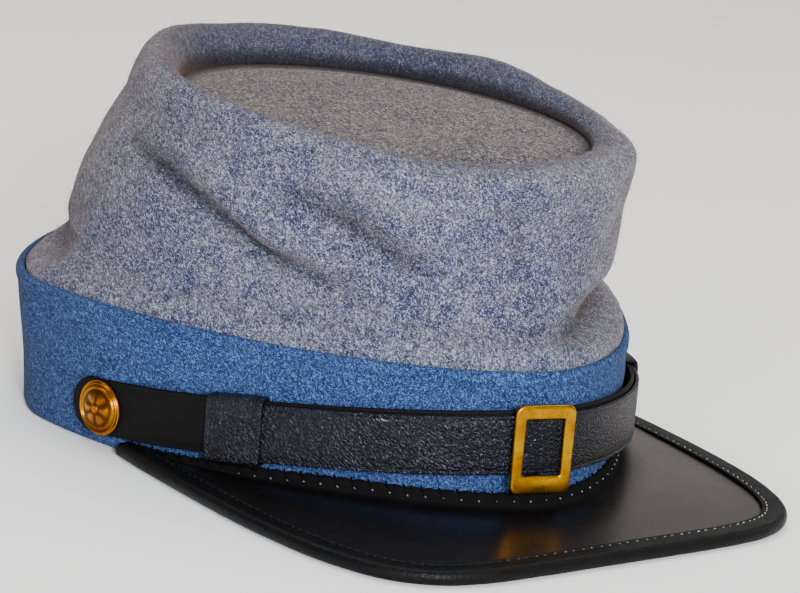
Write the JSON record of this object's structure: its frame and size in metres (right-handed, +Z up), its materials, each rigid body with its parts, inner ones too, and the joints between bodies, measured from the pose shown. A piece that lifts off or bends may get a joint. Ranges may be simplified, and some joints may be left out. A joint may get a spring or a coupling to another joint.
{
  "type": "kepi cap",
  "caption": "Soft wool kepi cap: slumped grey-blue crown with a sunken round top, blue band, bound flat leather peak and a buckled chin strap between brass buttons.",
  "frame": {"origin": "on the surface the cap stands on, below the middle of the whole cap's box", "axes": "+Z up out of the crown, -Y to the front where the peak is, +X to the wearer's left"},
  "size_m": [0.1752, 0.2402, 0.1017],
  "materials": {
    "crown_wool": "matte",
    "band_wool": "matte",
    "peak_leather": "gloss",
    "strap_leather": "satin",
    "brass": "satin"
  },
  "bodies": {
    "root": {"crown_side": "crown_wool", "crown_top": "crown_wool", "band": "band_wool", "peak": "peak_leather", "peak_binding": "peak_leather", "strap_rear": "strap_leather", "strap_front": "strap_leather", "keeper_right": "strap_leather", "keeper_left": "strap_leather", "buckle": "brass", "button_right": "brass", "button_left": "brass", "side_stud": "brass"}
  },
  "joints": []
}
